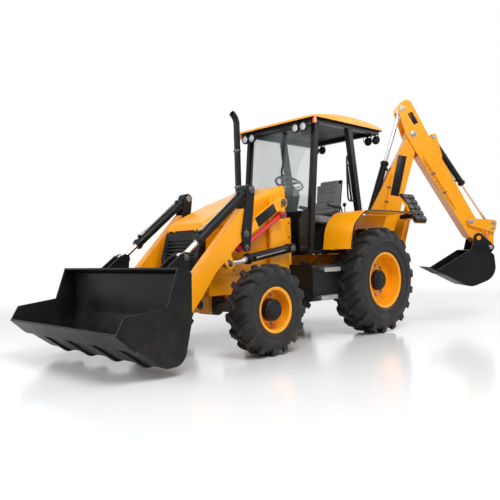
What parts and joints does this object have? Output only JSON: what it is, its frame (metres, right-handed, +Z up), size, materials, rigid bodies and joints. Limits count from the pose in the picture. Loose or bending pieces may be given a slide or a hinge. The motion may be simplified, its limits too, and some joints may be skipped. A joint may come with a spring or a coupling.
{
  "type": "backhoe loader",
  "caption": "Four-wheel backhoe loader with a canopy cab, parallel-lift front bucket, slewed rear digging arm and raised swing stabilisers.",
  "frame": {"origin": "on the ground in the middle of the machine's box", "axes": "+X forward to the loader bucket, +Y to the machine's left, +Z up"},
  "size_m": [6.888, 2.659, 3.4549],
  "materials": {
    "yellow_paint": "gloss",
    "black_paint": "satin",
    "red_paint": "gloss",
    "chrome": "polished",
    "steel": "machined",
    "tyre": "matte",
    "glass": "polished",
    "plastic": "matte",
    "seat_fabric": "woven",
    "iron": "cast"
  },
  "bodies": {
    "machine": {"main_frame": "yellow_paint", "front_axle": "iron", "rear_axle": "iron", "engine": "iron", "grille": "black_paint", "side_panels": "yellow_paint", "cab_floor": "black_paint", "side_tanks": "black_paint", "canopy_frame": "black_paint", "roof": "yellow_paint", "windscreen": "glass", "dash": "plastic", "steering_wheel": "plastic", "console": "plastic", "seat": "seat_fabric", "fenders": "yellow_paint", "work_lamps": "plastic", "exhaust": "black_paint", "rear_frame": "yellow_paint"},
    "bonnet": {"bonnet": "yellow_paint"},
    "loader_arms": {"loader_arms": "yellow_paint"},
    "tilt_levers": {"tilt_levers": "black_paint"},
    "levelling_links": {"levelling_links": "red_paint"},
    "bucket_pins": {"bucket_pins": "steel"},
    "tilt_pins": {"tilt_pins": "steel"},
    "loader_bucket": {"loader_bucket": "black_paint"},
    "lift_barrels": {"lift_barrels": "black_paint"},
    "lift_rods": {"lift_rods": "chrome"},
    "tilt_barrels": {"tilt_barrels": "black_paint"},
    "tilt_rods": {"tilt_rods": "chrome"},
    "knuckle_left": {"knuckle_left": "iron"},
    "knuckle_right": {"knuckle_right": "iron"},
    "track_rod": {"track_rod": "steel"},
    "kingpost": {"kingpost": "yellow_paint"},
    "boom": {"boom": "yellow_paint"},
    "dipper": {"dipper": "yellow_paint"},
    "dig_bucket": {"dig_bucket": "black_paint"},
    "dig_lever": {"dig_lever": "yellow_paint"},
    "dig_link": {"dig_link": "yellow_paint"},
    "boom_barrel": {"boom_barrel": "black_paint"},
    "boom_rod": {"boom_rod": "chrome"},
    "dipper_barrel": {"dipper_barrel": "black_paint"},
    "dipper_rod": {"dipper_rod": "chrome"},
    "dig_barrel": {"dig_barrel": "black_paint"},
    "dig_rod": {"dig_rod": "chrome"},
    "stabiliser_left": {"stabiliser_left": "yellow_paint"},
    "stabiliser_right": {"stabiliser_right": "yellow_paint"},
    "leg_barrel_left": {"leg_barrel_left": "black_paint"},
    "leg_barrel_right": {"leg_barrel_right": "black_paint"},
    "leg_rod_left": {"leg_rod_left": "chrome"},
    "leg_rod_right": {"leg_rod_right": "chrome"},
    "front_wheel_left": {"front_rim_left": "yellow_paint", "front_tyre_left": "tyre"},
    "front_wheel_right": {"front_rim_right": "yellow_paint", "front_tyre_right": "tyre"},
    "rear_wheel_left": {"rear_rim_left": "yellow_paint", "rear_tyre_left": "tyre"},
    "rear_wheel_right": {"rear_rim_right": "yellow_paint", "rear_tyre_right": "tyre"}
  },
  "joints": [
    {"name": "bonnet_open", "type": "hinge", "parent": "machine", "child": "bonnet", "pos_m": [1.824, -0.208, 1.39], "axis": [0, 1, 0], "range_deg": [0, 50]},
    {"name": "loader_lift", "type": "hinge", "parent": "machine", "child": "loader_arms", "pos_m": [0.815, -0.208, 1.711], "axis": [0, -1, 0], "range_deg": [-4, 80]},
    {"name": "lever_turn", "type": "hinge", "parent": "loader_arms", "child": "tilt_levers", "pos_m": [1.458, -0.208, 1.33], "axis": [0, -1, 0], "range_deg": [-81.6, 4.08]},
    {"name": "link_turn", "type": "hinge", "parent": "machine", "child": "levelling_links", "pos_m": [0.815, -0.208, 1.561], "axis": [0, -1, 0], "range_deg": [-4.08, 81.6]},
    {"name": "bucket_level", "type": "hinge", "parent": "loader_arms", "child": "bucket_pins", "pos_m": [2.408, -0.208, 0.59], "axis": [0, -1, 0], "range_deg": [-81.6, 4.08]},
    {"name": "tilt_pin_turn", "type": "hinge", "parent": "tilt_levers", "child": "tilt_pins", "pos_m": [1.368, -0.208, 1.83], "axis": [0, -1, 0], "range_deg": [-4.08, 81.6]},
    {"name": "lift_barrel_turn", "type": "hinge", "parent": "machine", "child": "lift_barrels", "pos_m": [0.666, -0.208, 1.161], "axis": [0, -1, 0], "range_deg": [-3.12, 62.41]},
    {"name": "lift_rod_slide", "type": "slide", "parent": "lift_barrels", "child": "lift_rods", "axis": [0.988, 0, -0.1541], "range_m": [-0.03133, 0.6075]},
    {"name": "bucket_tilt", "type": "hinge", "parent": "bucket_pins", "child": "loader_bucket", "pos_m": [2.408, -0.208, 0.59], "axis": [0, 1, 0], "range_deg": [-14, 76]},
    {"name": "tilt_barrel_turn", "type": "hinge", "parent": "tilt_pins", "child": "tilt_barrels", "pos_m": [1.368, -0.208, 1.83], "axis": [0, 1, 0], "range_deg": [-4.34, 0.8]},
    {"name": "tilt_rod_slide", "type": "slide", "parent": "tilt_barrels", "child": "tilt_rods", "axis": [0.7889, 0, -0.6145], "range_m": [-0.11573, 0.62384]},
    {"name": "steer_left", "type": "hinge", "parent": "machine", "child": "knuckle_left", "pos_m": [1.488, 0.614, 0.497], "axis": [0, 0, 1], "range_deg": [-32, 32]},
    {"name": "steer_right", "type": "hinge", "parent": "machine", "child": "knuckle_right", "pos_m": [1.488, -1.03, 0.497], "axis": [0, 0, 1], "range_deg": [-32.64, 32.64]},
    {"name": "track_rod_slide", "type": "slide", "parent": "machine", "child": "track_rod", "axis": [0, 1, 0], "range_m": [-0.101, 0.101]},
    {"name": "front_wheel_left_spin", "type": "hinge", "parent": "knuckle_left", "child": "front_wheel_left", "pos_m": [1.488, 0.754, 0.497], "axis": [0, 1, 0], "continuous": true},
    {"name": "front_wheel_right_spin", "type": "hinge", "parent": "knuckle_right", "child": "front_wheel_right", "pos_m": [1.488, -1.17, 0.497], "axis": [0, 1, 0], "continuous": true},
    {"name": "rear_wheel_left_spin", "type": "hinge", "parent": "machine", "child": "rear_wheel_left", "pos_m": [-0.682, 0.664, 0.705], "axis": [0, 1, 0], "continuous": true},
    {"name": "rear_wheel_right_spin", "type": "hinge", "parent": "machine", "child": "rear_wheel_right", "pos_m": [-0.682, -1.08, 0.705], "axis": [0, 1, 0], "continuous": true},
    {"name": "slew", "type": "hinge", "parent": "machine", "child": "kingpost", "pos_m": [-1.912, -0.208, 0.645], "axis": [0, 0, -1], "range_deg": [-135, 45]},
    {"name": "boom_raise", "type": "hinge", "parent": "kingpost", "child": "boom", "pos_m": [-2.07463, -0.04537, 0.9], "axis": [0.7071, 0.7071, 0], "range_deg": [-110, 12]},
    {"name": "boom_barrel_turn", "type": "hinge", "parent": "kingpost", "child": "boom_barrel", "pos_m": [-2.01948, -0.10052, 1.19], "axis": [0.7071, 0.7071, 0], "range_deg": [-113.57, 12.39]},
    {"name": "boom_rod_slide", "type": "slide", "parent": "boom_barrel", "child": "boom_rod", "axis": [-0.2063, 0.2063, 0.9565], "range_m": [-0.05536, 0.49933]},
    {"name": "dipper_fold", "type": "hinge", "parent": "boom", "child": "dipper", "pos_m": [-2.38859, 0.26859, 2.915], "axis": [-0.7071, -0.7071, 0], "range_deg": [-95, 4]},
    {"name": "dipper_barrel_turn", "type": "hinge", "parent": "boom", "child": "dipper_barrel", "pos_m": [-1.89079, -0.22921, 1.6], "axis": [-0.7071, -0.7071, 0], "range_deg": [-2.03, 0.09]},
    {"name": "dipper_rod_slide", "type": "slide", "parent": "dipper_barrel", "child": "dipper_rod", "axis": [-0.2104, 0.2104, 0.9547], "range_m": [-0.66902, 0.02913]},
    {"name": "dig_bucket_dump", "type": "hinge", "parent": "dipper", "child": "dig_bucket", "pos_m": [-3.08438, 0.96438, 1.253], "axis": [0.7071, 0.7071, 0], "range_deg": [-45, 105]},
    {"name": "dig_lever_turn", "type": "hinge", "parent": "dipper", "child": "dig_lever", "pos_m": [-2.99741, 0.87741, 1.505], "axis": [0.7071, 0.7071, 0], "range_deg": [-28.58, 66.69]},
    {"name": "dig_link_turn", "type": "hinge", "parent": "dig_lever", "child": "dig_link", "pos_m": [-3.23075, 1.11075, 1.39], "axis": [0.7071, 0.7071, 0], "range_deg": [-58.2, 24.94]},
    {"name": "dig_barrel_turn", "type": "hinge", "parent": "dipper", "child": "dig_barrel", "pos_m": [-2.62335, 0.50335, 2.865], "axis": [0.7071, 0.7071, 0], "range_deg": [-1.11, 2.59]},
    {"name": "dig_rod_slide", "type": "slide", "parent": "dig_barrel", "child": "dig_rod", "axis": [-0.377, 0.377, -0.846], "range_m": [-0.36308, 0.15618]},
    {"name": "stabiliser_left_swing", "type": "hinge", "parent": "machine", "child": "stabiliser_left", "pos_m": [-1.612, 0.222, 0.64], "axis": [-1, 0, 0], "range_deg": [0, 98]},
    {"name": "leg_barrel_left_turn", "type": "hinge", "parent": "machine", "child": "leg_barrel_left", "pos_m": [-1.612, 0.222, 1.3], "axis": [-1, 0, 0], "range_deg": [0, 11.52]},
    {"name": "leg_rod_left_slide", "type": "slide", "parent": "leg_barrel_left", "child": "leg_rod_left", "axis": [0, 0.3206, -0.9472], "range_m": [-0.001, 0.31658]},
    {"name": "stabiliser_right_swing", "type": "hinge", "parent": "machine", "child": "stabiliser_right", "pos_m": [-1.612, -0.638, 0.64], "axis": [1, 0, 0], "range_deg": [0, 98]},
    {"name": "leg_barrel_right_turn", "type": "hinge", "parent": "machine", "child": "leg_barrel_right", "pos_m": [-1.612, -0.638, 1.3], "axis": [1, 0, 0], "range_deg": [0, 11.52]},
    {"name": "leg_rod_right_slide", "type": "slide", "parent": "leg_barrel_right", "child": "leg_rod_right", "axis": [0, -0.3206, -0.9472], "range_m": [-0.001, 0.31658]}
  ],
  "couplings": [
    {"joint": "lever_turn", "follows": "loader_lift", "ratio": -1},
    {"joint": "link_turn", "follows": "loader_lift", "ratio": 1},
    {"joint": "bucket_level", "follows": "loader_lift", "ratio": -1},
    {"joint": "tilt_pin_turn", "follows": "loader_lift", "ratio": 1},
    {"joint": "lift_barrel_turn", "follows": "loader_lift", "ratio": 0.7648},
    {"joint": "lift_rod_slide", "follows": "loader_lift", "m_per_rad": 0.42586},
    {"joint": "tilt_barrel_turn", "follows": "bucket_tilt", "ratio": -0.055991},
    {"joint": "tilt_rod_slide", "follows": "bucket_tilt", "m_per_rad": 0.46035},
    {"joint": "steer_right", "follows": "steer_left", "ratio": 1},
    {"joint": "track_rod_slide", "follows": "steer_left", "m_per_rad": -0.17553},
    {"joint": "boom_barrel_turn", "follows": "boom_raise", "ratio": 1.0122},
    {"joint": "boom_rod_slide", "follows": "boom_raise", "m_per_rad": -0.25448},
    {"joint": "dipper_barrel_turn", "follows": "dipper_fold", "ratio": 0.020982},
    {"joint": "dipper_rod_slide", "follows": "dipper_fold", "m_per_rad": 0.39499},
    {"joint": "dig_lever_turn", "follows": "dig_bucket_dump", "ratio": 0.6227},
    {"joint": "dig_link_turn", "follows": "dig_bucket_dump", "ratio": -0.54341},
    {"joint": "dig_barrel_turn", "follows": "dig_bucket_dump", "ratio": 0.02414},
    {"joint": "dig_rod_slide", "follows": "dig_bucket_dump", "m_per_rad": -0.19371},
    {"joint": "leg_barrel_left_turn", "follows": "stabiliser_left_swing", "ratio": 0.11523},
    {"joint": "leg_rod_left_slide", "follows": "stabiliser_left_swing", "m_per_rad": 0.18088},
    {"joint": "leg_barrel_right_turn", "follows": "stabiliser_right_swing", "ratio": 0.11523},
    {"joint": "leg_rod_right_slide", "follows": "stabiliser_right_swing", "m_per_rad": 0.18088}
  ]
}
